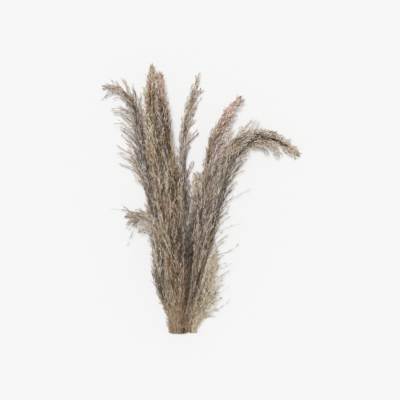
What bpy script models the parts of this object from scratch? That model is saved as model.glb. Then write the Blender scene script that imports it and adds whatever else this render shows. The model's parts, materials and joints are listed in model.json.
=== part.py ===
"""A tied bundle of dried pampas grass, lying on a flat surface.

Nine cut flowering stems lie together with their plumes spread out. +Z is up, the surface is
z = 0, and +Y runs from the cut ends to the tips. Each stem is one slender solid from its cut
end nearly to the tip of its plume. The plume is a soft body of side branches around it, with a
bore for the stem. Plumes that meet are pressed flat against each other, and those that lie on the
surface are flat underneath. A raffia tie with a knot holds the bundle close to the cut ends.

Lengths in the tables are in millimetres and are turned to metres where a shape is made.
"""

import math

import bmesh
import bpy
from mathutils import Vector
from mathutils.geometry import convex_hull_2d
from mathutils.kdtree import KDTree

MM = 0.001

# The stems at their cut ends, packed in three rows inside the tie.
CUT_Y = -348.0
STRAIGHT_LENGTH = 34.0  # how far the stems run side by side before they part
STEM_PITCH = 16.6
ROW_RISE = 14.6
LOWEST_ROW_Z = 12.0
CLUSTER_X = -47.0

# Stems and plumes.
STEM_BASE_RADIUS = 4.0
STEM_TIP_RADIUS = 1.1
STEM_END_SHARE = 0.93  # the stem ends this far along its plume
BORE_CLEARANCE = 0.5
PLUME_BASE_RADIUS = 7.9
PLUME_TIP_RADIUS = 2.6
PLUME_GAP = 3.0  # free space kept between neighbouring plumes
LEAST_SHARE = 0.34  # of the room between two axes that the slighter plume keeps
SWELL_SHARE = 0.32  # a plume swells over this share of its length
TAPER_START = 0.5  # and tapers from here to its tip
TAPER_POWER = 2.2
RING_SPACING = 28.0
STEM_RING_SPACING = 44.0
STEM_STUB = 3.0  # bare stem below the lowest branches

# How finely curves, rims and pressed faces are worked out.
STEM_RESOLUTION = 1
PLUME_RESOLUTION = 3
CURVE_STEPS = 12
TREE_SPACING = 1.0
PRESS_STEPS = 12
RIM_POINTS = 24

# The raffia tie.
TIE_Y = -331.0
TIE_WIDTH = 7.0
TIE_THICKNESS = 1.8
TIE_GAP = 0.5
KNOT_SIZE = (9.0, 8.6, 4.4)
KNOT_SINK = 1.2  # how far the knot is pulled into the band

# Colours, as linear RGB.
STRAW = (0.42, 0.31, 0.17)
RAFFIA = (0.44, 0.33, 0.19)
GREY_TAUPE = (0.24, 0.19, 0.16)
WARM_TAUPE = (0.26, 0.20, 0.14)
ROSY_TAUPE = (0.33, 0.24, 0.19)
OLIVE_TAUPE = (0.29, 0.24, 0.15)


def slot(row, place):
    """The x and z of one stem at the cut: row 0 lies lowest, and row 1 is half a pitch off."""
    shift = 0.5 if row % 2 else 0.0
    return CLUSTER_X + (place + shift) * STEM_PITCH, LOWEST_ROW_Z + row * ROW_RISE


# Each stalk: name, its slot at the cut, the points of its axis beyond the straight stretch,
# the plume's greatest radius, and its colour. The points are (x, y, z), chosen by hand.
STALKS = (
    ("left_arching", slot(0, -1), (
        (-76, -260, 17), (-87, -208, 21), (-97, -156, 25), (-106, -104, 28), (-115, -52, 29),
        (-124, 0, 29), (-134, 52, 29), (-146, 104, 29), (-154, 156, 28), (-165, 208, 26),
        (-184, 256, 23), (-212, 286, 19), (-240, 292, 14), (-258, 278, 9)), 32, GREY_TAUPE),
    ("low_left_bent", slot(1, -2), (
        (-92, -260, 40), (-103, -208, 52), (-107, -156, 62), (-109, -108, 68), (-119, -72, 66),
        (-140, -52, 56), (-166, -44, 42), (-188, -47, 30)), 24, GREY_TAUPE),
    ("tall_left", slot(2, -1), (
        (-63, -260, 57), (-69, -182, 77), (-80, -104, 88), (-91, -26, 90), (-104, 52, 86),
        (-117, 130, 79), (-125, 208, 70), (-129, 273, 62), (-125, 342, 55)), 25, WARM_TAUPE),
    ("tall_right", slot(2, 0), (
        (-48, -260, 50), (-51, -182, 59), (-56, -104, 62), (-62, -26, 61), (-70, 52, 59),
        (-81, 130, 57), (-90, 208, 54), (-99, 273, 52), (-105, 322, 50)), 24, WARM_TAUPE),
    ("thin_middle", slot(1, -1), (
        (-44, -260, 35), (-36, -182, 38), (-35, -104, 36), (-39, -26, 30), (-44, 52, 23),
        (-47, 130, 17), (-39, 203, 14), (-22, 265, 12), (-6, 318, 9)), 16, ROSY_TAUPE),
    ("short_middle", slot(0, 0), (
        (-33, -260, 15), (-23, -182, 16), (-17, -104, 16), (-13, -39, 15), (-8, 13, 13),
        (2, 54, 11)), 17, GREY_TAUPE),
    ("rosy_right", slot(1, 0), (
        (-24, -260, 42), (-14, -182, 55), (-4, -104, 63), (4, -26, 67), (14, 52, 66),
        (29, 130, 61), (48, 182, 55), (75, 229, 48), (103, 262, 42)), 25, ROSY_TAUPE),
    ("right_drooping", slot(0, 1), (
        (-13, -260, 17), (5, -182, 23), (23, -104, 29), (39, -39, 32), (55, 26, 33),
        (73, 83, 33), (101, 133, 32), (139, 160, 30), (182, 161, 27), (221, 142, 22),
        (256, 115, 15)), 35, WARM_TAUPE),
    ("low_right_short", slot(1, 1), (
        (-6, -291, 34), (11, -247, 45), (25, -203, 54), (36, -158, 60)), 22, OLIVE_TAUPE),
)


def material(name, colour, roughness):
    """A plain Principled material of one colour."""
    made = bpy.data.materials.get(name) or bpy.data.materials.new(name)
    made.use_nodes = True
    surface = made.node_tree.nodes["Principled BSDF"]
    surface.inputs["Base Color"].default_value = (*colour, 1.0)
    surface.inputs["Roughness"].default_value = roughness
    surface.inputs["Metallic"].default_value = 0.0
    return made


def smooth_axis(points, spacing):
    """Points about `spacing` apart along a smooth curve through the given points."""
    knots = [Vector(p) for p in points]
    ends = [2 * knots[0] - knots[1], *knots, 2 * knots[-1] - knots[-2]]
    fine = []
    for before, start, end, after in zip(ends, ends[1:], ends[2:], ends[3:]):
        for step in range(CURVE_STEPS):
            t = step / CURVE_STEPS
            fine.append(0.5 * (2 * start + (end - before) * t
                               + (2 * before - 5 * start + 4 * end - after) * t * t
                               + (3 * start - before - 3 * end + after) * t ** 3))
    fine.append(knots[-1])
    return evenly(fine, max(3, round(length_of(fine) / spacing) + 1))


def length_of(line):
    """The length of a line of points."""
    return sum((b - a).length for a, b in zip(line, line[1:]))


def evenly(line, count):
    """`count` points at equal distances along a line."""
    step = length_of(line) / (count - 1)
    found, walked = [line[0].copy()], 0.0
    for a, b in zip(line, line[1:]):
        stretch = (b - a).length
        while len(found) < count - 1 and walked + stretch >= step * len(found):
            found.append(a.lerp(b, (step * len(found) - walked) / stretch))
        walked += stretch
    found.append(line[-1].copy())
    return found


def part_of(line, share):
    """The first share of a line, with the same number of points."""
    fine = evenly(line, CURVE_STEPS * len(line))
    return evenly(fine[:round(share * len(fine))], len(line))


def plume_girth(share, tied, widest):
    """A free plume's radius: narrow where it is tied, then widest, and fine again at its tip."""
    rise = max(0.0, min(1.0, (share - tied) / SWELL_SHARE))
    swell = rise * rise * (3 - 2 * rise)
    fall = max(0.0, (share - TAPER_START) / (1 - TAPER_START))
    body = PLUME_BASE_RADIUS + (widest - PLUME_BASE_RADIUS) * swell
    return PLUME_TIP_RADIUS + (body - PLUME_TIP_RADIUS) * math.sqrt(1 - fall ** TAPER_POWER)


def axis_tree(line, girths):
    """A search tree of points along a plume's axis, and the plume's free radius at each."""
    places = evenly(line, round(length_of(line) / TREE_SPACING) + 1)
    tree = KDTree(len(places))
    radii = []
    for index, place in enumerate(places):
        tree.insert(place, index)
        position = (len(girths) - 1) * index / len(places)
        below = int(position)
        radii.append(girths[below] + (girths[below + 1] - girths[below]) * (position - below))
    tree.balance()
    return tree, radii


def pressed_past(place, own, others):
    """How far a point is past the planes where neighbours press on its plume; inside is negative."""
    middle, index, _ = own[0].find(place)
    past = []
    for tree, radii in others:
        theirs, their_index, _ = tree.find(place)
        apart = (theirs - middle).length
        most = (1 - 2 * LEAST_SHARE) * apart ** 2
        lead = max(-most, min(most, own[1][index] ** 2 - radii[their_index] ** 2))
        nearer = (place - middle).length_squared - (place - theirs).length_squared
        past.append((nearer - lead) / (2 * apart))
    return max(past) + PLUME_GAP / 2


def tube(name, line, radii, resolution):
    """A closed round tube along a line of points in millimetres, as a mesh in metres."""
    path = bpy.data.curves.new(name, "CURVE")
    path.dimensions = "3D"
    path.bevel_depth = MM
    path.bevel_resolution = resolution
    path.use_fill_caps = True
    spline = path.splines.new("POLY")
    spline.points.add(len(line) - 1)
    for knot, place, radius in zip(spline.points, line, radii):
        knot.co = (*(place * MM), 1.0)
        knot.radius = radius
    carrier = bpy.data.objects.new(name + "_path", path)
    bpy.context.scene.collection.objects.link(carrier)
    bpy.context.view_layer.update()
    mesh = bpy.data.meshes.new_from_object(
        carrier.evaluated_get(bpy.context.evaluated_depsgraph_get()))
    bpy.data.objects.remove(carrier)
    bpy.data.curves.remove(path)
    shape = bmesh.new()
    shape.from_mesh(mesh)
    bmesh.ops.remove_doubles(shape, verts=shape.verts, dist=1e-6)
    bmesh.ops.recalc_face_normals(shape, faces=shape.faces)
    shape.to_mesh(mesh)
    shape.free()
    mesh.name = name
    return mesh


def rest_on_floor(mesh):
    """Soft branches that would reach below the surface lie flat on it."""
    for vertex in mesh.vertices:
        vertex.co.z = max(0.0, vertex.co.z)


def press(mesh, name, trees):
    """Flattens a plume where its neighbours press on it, half the gap short of where they meet."""
    own = trees[name]
    others = [tree for other, tree in trees.items() if other != name]
    for vertex in mesh.vertices:
        place = vertex.co / MM
        if pressed_past(place, own, others) <= 0:
            continue
        middle = own[0].find(place)[0]
        low, high = 0.0, 1.0
        for _ in range(PRESS_STEPS):
            half = (low + high) / 2
            if pressed_past(middle.lerp(place, half), own, others) > 0:
                high = half
            else:
                low = half
        vertex.co = middle.lerp(place, low) * MM


def node(name, mesh, look, bundle):
    """A named piece of the bundle."""
    mesh.materials.clear()
    mesh.materials.append(look)
    mesh.shade_smooth()
    mesh.set_sharp_from_angle(angle=math.radians(40))
    made = bpy.data.objects.new(name, mesh)
    made.parent = bundle
    bpy.context.scene.collection.objects.link(made)
    return made


def guide(piece, name, mesh, operation):
    """Joins a shape to a piece, or cuts it out, by a Boolean."""
    shape = bpy.data.objects.new(name, mesh)
    shape.hide_render = True
    shape.display_type = "WIRE"
    shape.parent = piece.parent
    bpy.context.scene.collection.objects.link(shape)
    step = piece.modifiers.new(name, "BOOLEAN")
    step.operation = operation
    step.object = shape


def stalk_axes():
    """Each stalk's axis from the cut to its tip, and its plume's free radii along it."""
    axes, girths = {}, {}
    for name, (x, z), points, widest, _ in STALKS:
        start = [(x, CUT_Y + part * STRAIGHT_LENGTH, z) for part in (0.0, 0.5, 1.0)]
        line = smooth_axis([*start, *points], RING_SPACING)
        tied = STRAIGHT_LENGTH / length_of(line)
        last = len(line) - 1
        axes[name] = line
        girths[name] = [plume_girth(index / last, tied, widest) for index in range(last + 1)]
    return axes, girths


def build_stalks(bundle):
    """The stems and the plumes around them."""
    axes, girths = stalk_axes()
    trees = {name: axis_tree(axes[name], girths[name]) for name in axes}
    straw = material("straw_stem", STRAW, 0.55)
    for name, _, _, _, colour in STALKS:
        fluff = tube(name + "_plume", axes[name], girths[name], PLUME_RESOLUTION)
        press(fluff, name, trees)
        rest_on_floor(fluff)
        plume = node(name + "_plume", fluff, material(name + "_fluff", colour, 0.9), bundle)

        inner = part_of(axes[name], STEM_END_SHARE)
        count = max(4, round(length_of(inner) / STEM_RING_SPACING) + 1)
        inner = [inner[0] - Vector((0, STEM_STUB, 0)), *evenly(inner, count)]
        radii = [STEM_BASE_RADIUS + (STEM_TIP_RADIUS - STEM_BASE_RADIUS) * index / count
                 for index in range(count + 1)]
        stem = tube(name + "_stem", inner, radii, STEM_RESOLUTION)
        node(name + "_stem", stem, straw, bundle)
        inner[0] -= Vector((0, BORE_CLEARANCE, 0))
        inner[-1] += (inner[-1] - inner[-2]).normalized() * BORE_CLEARANCE
        bore = tube(name + "_bore", inner, [radius + BORE_CLEARANCE for radius in radii],
                    STEM_RESOLUTION)
        guide(plume, name + "_bore", bore, "DIFFERENCE")
    return axes


def hull_around(centres, reach):
    """The outline of a band pulled tight round circles of radius `reach`, in order, in x and z."""
    rim = [(x + reach * math.cos(a), z + reach * math.sin(a))
           for x, z in centres for a in (math.tau * k / RIM_POINTS for k in range(RIM_POINTS))]
    return [Vector(rim[i]) for i in convex_hull_2d(rim)]


def build_tie(bundle, axes):
    """A flat raffia band round the whole bundle, with its knot on top."""
    centres = [(line[0].x, line[0].z) for line in axes.values()]
    reach = PLUME_BASE_RADIUS + TIE_GAP
    outline = hull_around(centres, reach + TIE_THICKNESS)
    band = bmesh.new()
    loops = []
    for side in (-1, 1):
        level = TIE_Y + side * TIE_WIDTH / 2
        for rim in (outline, hull_around(centres, reach)):
            ring = [band.verts.new(Vector((p.x, level, p.y)) * MM) for p in rim]
            loops.append([band.edges.new(pair) for pair in zip(ring, ring[1:] + ring[:1])])
    near_outer, near_inner, far_outer, far_inner = loops
    for one, two in ((near_outer, far_outer), (far_outer, far_inner),
                     (far_inner, near_inner), (near_inner, near_outer)):
        bmesh.ops.bridge_loops(band, edges=one + two)
    bmesh.ops.recalc_face_normals(band, faces=band.faces)
    mesh = bpy.data.meshes.new("raffia_tie")
    band.to_mesh(mesh)
    band.free()
    tie = node("raffia_tie", mesh, material("raffia", RAFFIA, 0.8), bundle)
    tie_knot(tie, outline)


def tie_knot(tie, outline):
    """The knot, pulled into the top of the band."""
    knot = bmesh.new()
    bmesh.ops.create_icosphere(knot, subdivisions=2, radius=0.5)
    top = max(p.y for p in outline)
    along_top = [p.x for p in outline if math.isclose(p.y, top, abs_tol=0.01)]
    middle = (min(along_top) + max(along_top)) / 2
    where = Vector((middle, TIE_Y, top + KNOT_SIZE[2] / 2 - KNOT_SINK))
    bmesh.ops.scale(knot, vec=Vector(KNOT_SIZE) * MM, verts=knot.verts)
    bmesh.ops.translate(knot, vec=where * MM, verts=knot.verts)
    mesh = bpy.data.meshes.new("knot_shape")
    knot.to_mesh(mesh)
    knot.free()
    guide(tie, "knot_shape", mesh, "UNION")


def centre_on_origin(bundle):
    """Moves the bundle so that the middle of its box stands over the origin, on the surface."""
    bpy.context.view_layer.update()
    graph = bpy.context.evaluated_depsgraph_get()
    corners = [child.evaluated_get(graph).matrix_world @ vertex.co
               for child in bundle.children if not child.hide_render
               for vertex in child.evaluated_get(graph).data.vertices]
    for axis in (0, 1):
        values = [corner[axis] for corner in corners]
        bundle.location[axis] -= (min(values) + max(values)) / 2
    bundle.location.z -= min(corner.z for corner in corners)
    bpy.context.view_layer.update()


def main():
    for old in list(bpy.data.objects):
        bpy.data.objects.remove(old)
    bundle = bpy.data.objects.new("bundle", None)
    bpy.context.scene.collection.objects.link(bundle)
    axes = build_stalks(bundle)
    build_tie(bundle, axes)
    centre_on_origin(bundle)


main()
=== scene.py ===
"""A tied bundle of dried pampas grass, lying on a pale table.

Each plume is grown as the plant grows it: branches leave the stalk, branchlets leave the
branches, and every branchlet carries a row of slender spikelets. All of them are placed round
the stalk's own line, by how far along it they are, how far out, and on which side, so that a
plume keeps its flow where its stalk bends over.
"""

from __future__ import annotations

import json
import logging
import math
from dataclasses import astuple, dataclass, field
from enum import Enum

import bmesh
import bpy
import numpy as np
from bmesh.types import BMesh
from bpy.types import Material, Mesh, Node, NodeTree, Object
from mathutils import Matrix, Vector
from mathutils.bvhtree import BVHTree

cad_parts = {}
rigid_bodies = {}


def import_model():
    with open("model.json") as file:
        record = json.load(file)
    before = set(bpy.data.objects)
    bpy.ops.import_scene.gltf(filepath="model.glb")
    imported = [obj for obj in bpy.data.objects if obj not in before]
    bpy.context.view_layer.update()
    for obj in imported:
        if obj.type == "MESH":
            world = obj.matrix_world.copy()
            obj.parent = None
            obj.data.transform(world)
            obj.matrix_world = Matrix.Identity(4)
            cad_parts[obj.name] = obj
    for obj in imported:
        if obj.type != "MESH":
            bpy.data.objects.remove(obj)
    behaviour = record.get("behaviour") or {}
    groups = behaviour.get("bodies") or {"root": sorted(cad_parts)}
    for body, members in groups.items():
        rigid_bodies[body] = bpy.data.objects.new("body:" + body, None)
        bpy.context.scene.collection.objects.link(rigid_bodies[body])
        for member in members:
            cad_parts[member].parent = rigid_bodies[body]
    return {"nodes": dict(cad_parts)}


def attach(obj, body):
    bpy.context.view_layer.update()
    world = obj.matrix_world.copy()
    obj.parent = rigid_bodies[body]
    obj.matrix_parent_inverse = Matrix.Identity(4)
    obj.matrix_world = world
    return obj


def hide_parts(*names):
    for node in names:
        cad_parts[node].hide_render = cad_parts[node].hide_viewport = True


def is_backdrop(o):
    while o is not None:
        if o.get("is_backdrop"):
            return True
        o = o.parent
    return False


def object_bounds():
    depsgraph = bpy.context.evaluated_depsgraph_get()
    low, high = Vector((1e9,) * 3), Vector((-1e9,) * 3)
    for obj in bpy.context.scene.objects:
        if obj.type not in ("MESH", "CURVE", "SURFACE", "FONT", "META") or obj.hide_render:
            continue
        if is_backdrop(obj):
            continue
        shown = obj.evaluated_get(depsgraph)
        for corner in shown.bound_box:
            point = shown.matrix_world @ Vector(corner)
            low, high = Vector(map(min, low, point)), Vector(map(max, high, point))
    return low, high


LOG = logging.getLogger("pampas")
MM = 0.001
PALETTE_MAP = "OFBake"
GOLDEN_ANGLE = math.radians(137.5)
WHITE = (1.0, 1.0, 1.0)
Array = np.ndarray
Colour = tuple[float, float, float]
Places = tuple[Array, Array, Array]


class Side(Enum):
    """The side of a stalk, seen along it from its cut end, as an angle round it in degrees."""

    RIGHT = 0.0
    TOP = 90.0
    LEFT = 180.0


# Finishes


@dataclass
class Look:
    """A Principled material under construction, with short names for the usual steps."""

    name: str
    material: Material = field(init=False)
    tree: NodeTree = field(init=False)
    surface: Node = field(init=False)

    def __post_init__(self) -> None:
        """Starts the material."""
        self.material = bpy.data.materials.new(self.name)
        self.material.use_nodes = True
        self.tree = self.material.node_tree
        self.surface = self.tree.nodes["Principled BSDF"]

    @staticmethod
    def fix(node: Node, **values: object) -> None:
        """Sets a node's constant inputs, named with "_" in place of each space."""
        for key, value in values.items():
            node.inputs[key.replace("_", " ")].default_value = value

    def add(self, kind: str, **settings: object) -> Node:
        """Adds a node and sets its properties.

        Args:
            kind: the node's type.
            settings: the node's properties by name.

        Returns:
            The node.
        """
        node = self.tree.nodes.new(kind)
        for key, value in settings.items():
            setattr(node, key, value)
        return node

    def join(self, start: Node, output: str | int, end: Node, entry: str | int) -> None:
        """Links an output to an input."""
        self.tree.links.new(start.outputs[output], end.inputs[entry])

    def ramp(self, source: Node, output: str, stops: list[tuple[float, Colour]]) -> Node:
        """Adds a colour ramp.

        Args:
            source: the node that gives the place on the ramp.
            output: the name of its output.
            stops: each stop's place from 0 to 1 and its colour, in order.

        Returns:
            The ramp's node.
        """
        node = self.add("ShaderNodeValToRGB")
        marks = node.color_ramp.elements
        while len(marks) < len(stops):
            marks.new(0.5)
        for mark, (place, colour) in zip(marks, stops):
            mark.position = place
            mark.color = (*colour, 1.0)
        self.join(source, output, node, "Fac")
        return node

    def noise(self, source: Node, output: str, scale: tuple[float, float, float],
              detail: float) -> Node:
        """Adds a noise, finer along some axes than along others.

        Args:
            source: the node of the coordinates.
            output: the name of its output.
            scale: how fine the noise is along each axis.
            detail: how much finer noise is laid over it.

        Returns:
            The noise's node.
        """
        stretch = self.add("ShaderNodeMapping")
        self.fix(stretch, Scale=scale)
        self.join(source, output, stretch, "Vector")
        noise = self.add("ShaderNodeTexNoise")
        self.fix(noise, Scale=1.0, Detail=detail)
        self.join(stretch, "Vector", noise, "Vector")
        return noise

    def spread(self, noise: Node, middle: float, half: float) -> Node:
        """Turns a noise into values round a middle one.

        Args:
            noise: the noise's node.
            middle: the middle value.
            half: how far the values go to each side of it.

        Returns:
            The node that gives the value.
        """
        node = self.add("ShaderNodeMapRange")
        self.fix(node, From_Min=0.3, From_Max=0.7, To_Min=middle - half, To_Max=middle + half)
        self.join(noise, "Fac", node, "Value")
        return node

    def times(self, one: Node, other: Node) -> Node:
        """Multiplies the first outputs of two nodes.

        Args:
            one: the node of the first.
            other: the node of the second.

        Returns:
            The node that gives the product.
        """
        node = self.add("ShaderNodeVectorMath", operation="MULTIPLY")
        self.join(one, 0, node, 0)
        self.join(other, 0, node, 1)
        return node


@dataclass(frozen=True)
class Shades:
    """One hue of dried fluff, from its darkest strands to its palest, as linear RGB."""

    dark: Colour
    middle: Colour
    pale: Colour


MAUVE = Shades((0.050, 0.031, 0.023), (0.558, 0.436, 0.360), (0.955, 0.858, 0.760))
TAUPE = Shades((0.044, 0.025, 0.011), (0.568, 0.424, 0.285), (0.955, 0.842, 0.690))
GOLDEN = Shades((0.044, 0.023, 0.006), (0.566, 0.400, 0.210), (0.945, 0.805, 0.575))
RUST = Shades((0.048, 0.020, 0.007), (0.560, 0.330, 0.200), (0.930, 0.730, 0.570))
PINK = Shades((0.090, 0.054, 0.041), (0.680, 0.490, 0.405), (0.980, 0.860, 0.780))
OLIVE = Shades((0.042, 0.030, 0.009), (0.550, 0.445, 0.285), (0.940, 0.850, 0.690))


@dataclass(frozen=True)
class FluffFinish:
    """Dried fluff: three hues side by side on a palette, darker at the root than at the tip.

    The palette is the fluff's own UV map. Across it runs the tone, a third of the width for
    each hue, and up it runs the place along the plume. The tints multiply the colour, the whole
    root tint over the share of the plume's length that root_until gives.
    """

    name: str
    hues: tuple[Shades, Shades, Shades]
    root_tint: Colour = (0.57, 0.495, 0.41)
    tip_tint: Colour = (1.12, 1.10, 1.08)
    root_until: float = 0.0
    stops: tuple[float, float, float] = (0.02, 0.5, 0.98)
    speckle: float = 0.16
    speckle_scale: tuple[float, float, float] = (90.0, 26.0, 1.0)
    roughness: float = 0.55
    gloss: float = 0.1

    def material(self) -> Material:
        """Makes the material.

        Returns:
            A Principled material that reads only the palette map.
        """
        look = Look(self.name)
        palette = look.add("ShaderNodeUVMap", uv_map=PALETTE_MAP)
        axes = look.add("ShaderNodeSeparateXYZ")
        look.join(palette, "UV", axes, "Vector")
        tones = [((index + stop) / len(self.hues), shade) for index, hue in enumerate(self.hues)
                 for stop, shade in zip(self.stops, (hue.dark, hue.middle, hue.pale))]
        full_colour = max(0.6, self.root_until + 0.2)
        growth = [(self.root_until, self.root_tint), (full_colour, WHITE), (1.0, self.tip_tint)]
        colour = look.times(look.ramp(axes, "X", tones), look.ramp(axes, "Y", growth))
        speckles = look.noise(palette, "UV", self.speckle_scale, 2.0)
        colour = look.times(colour, look.spread(speckles, 1.0, self.speckle))
        look.join(colour, 0, look.surface, "Base Color")
        roughness = look.spread(speckles, self.roughness, self.gloss)
        look.join(roughness, 0, look.surface, "Roughness")
        look.fix(look.surface, Sheen_Weight=0.05, Sheen_Roughness=0.6, Specular_IOR_Level=0.3)
        return look.material


@dataclass(frozen=True)
class FibreFinish:
    """A fibrous skin, such as straw or raffia, with streaks that are fine along each axis."""

    name: str
    dark: Colour
    pale: Colour
    streaks: tuple[float, float, float]
    roughness: float = 0.55
    gloss: float = 0.12
    bump: float = 0.25
    relief: float = 0.2 * MM

    def material(self) -> Material:
        """Makes the material.

        Returns:
            A Principled material with streaks in its colour, gloss and relief.
        """
        look = Look(self.name)
        grain = look.noise(look.add("ShaderNodeTexCoord"), "Object", self.streaks, 3.0)
        colour = look.ramp(grain, "Fac", [(0.3, self.dark), (0.7, self.pale)])
        look.join(colour, 0, look.surface, "Base Color")
        look.join(look.spread(grain, self.roughness, self.gloss), 0, look.surface, "Roughness")
        relief = look.add("ShaderNodeBump")
        look.fix(relief, Strength=self.bump, Distance=self.relief)
        look.join(grain, "Fac", relief, "Height")
        look.join(relief, "Normal", look.surface, "Normal")
        return look.material


@dataclass(frozen=True)
class PithFinish:
    """The cut end of a stem: pale, dry and porous."""

    name: str = "cut_pith"
    dark: Colour = (0.42, 0.31, 0.19)
    pale: Colour = (0.78, 0.70, 0.55)
    pores_per_metre: float = 2600.0
    roughness: float = 0.9

    def material(self) -> Material:
        """Makes the material.

        Returns:
            A matt Principled material with fine dark pores.
        """
        look = Look(self.name)
        pores = look.add("ShaderNodeTexVoronoi")
        look.fix(pores, Scale=self.pores_per_metre)
        look.join(look.add("ShaderNodeTexCoord"), "Object", pores, "Vector")
        colour = look.ramp(pores, "Distance", [(0.12, self.dark), (0.42, self.pale)])
        look.join(colour, 0, look.surface, "Base Color")
        look.fix(look.surface, Roughness=self.roughness)
        return look.material


# Measuring and placing


def corners_of(node: Object) -> Array:
    """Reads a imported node's separate corners.

    Args:
        node: the node.

    Returns:
        Its distinct vertices, one row each, in metres.
    """
    flat = np.zeros(3 * len(node.data.vertices), np.float32)
    node.data.vertices.foreach_get("co", flat)
    return np.unique(np.round(flat.reshape(-1, 3).astype(float), 6), axis=0)


def skin_of(node: Object) -> BVHTree:
    """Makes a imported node's skin ready to be hit by rays."""
    faces = [tuple(face.vertices) for face in node.data.polygons]
    return BVHTree.FromPolygons([corner.co for corner in node.data.vertices], faces)


def angles_round(count: int) -> Array:
    """Gives angles at equal steps round a circle, in radians."""
    return np.linspace(0, math.tau, count, endpoint=False)


def spaced(chance: np.random.Generator, count: int, rows: int = 1) -> Array:
    """Picks a random place in each of count equal steps from 0 to 1, rows times over."""
    return (np.tile(np.arange(count), rows) + chance.uniform(0, 1, count * rows)) / count


def through(knots: Array, spacing: float) -> Array:
    """Lays a smooth curve through points.

    Args:
        knots: the points, one row each.
        spacing: how far apart the curve's own points are, in metres.

    Returns:
        Points at equal distances along the curve.
    """
    ends = np.vstack([2 * knots[0] - knots[1], knots, 2 * knots[-1] - knots[-2]])
    t = np.linspace(0, 1, 16, endpoint=False)[:, None]
    spans = [
        0.5 * (2 * b + (c - a) * t + (2 * a - 5 * b + 4 * c - d) * t**2
               + (3 * b - a - 3 * c + d) * t**3)
        for a, b, c, d in zip(ends, ends[1:], ends[2:], ends[3:])
    ]
    fine = np.vstack([*spans, knots[-1:]])
    walked = np.concatenate([[0], np.cumsum(np.linalg.norm(np.diff(fine, axis=0), axis=1))])
    marks = np.linspace(0, walked[-1], max(3, round(walked[-1] / spacing) + 1))
    return np.stack([np.interp(marks, walked, fine[:, i]) for i in range(3)], axis=1)


def drawn(shape: BMesh, name: str) -> Mesh:
    """Turns a shape into a mesh and lets the shape go."""
    mesh = bpy.data.meshes.new(name)
    shape.to_mesh(mesh)
    shape.free()
    return mesh


def placed(mesh: Mesh, node: str, slot: str, *finishes: Material) -> None:
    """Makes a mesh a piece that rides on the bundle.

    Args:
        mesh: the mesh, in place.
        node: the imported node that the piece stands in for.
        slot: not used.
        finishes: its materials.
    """
    for finish in finishes:
        mesh.materials.append(finish)
    piece = bpy.data.objects.new(mesh.name, mesh)
    bpy.context.scene.collection.objects.link(piece)
    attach(piece, "root")
    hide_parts(node)
    LOG.info("%s: %d faces", piece.name, len(mesh.polygons))


# The line of a stalk, and how far its plume reaches round it


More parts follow.
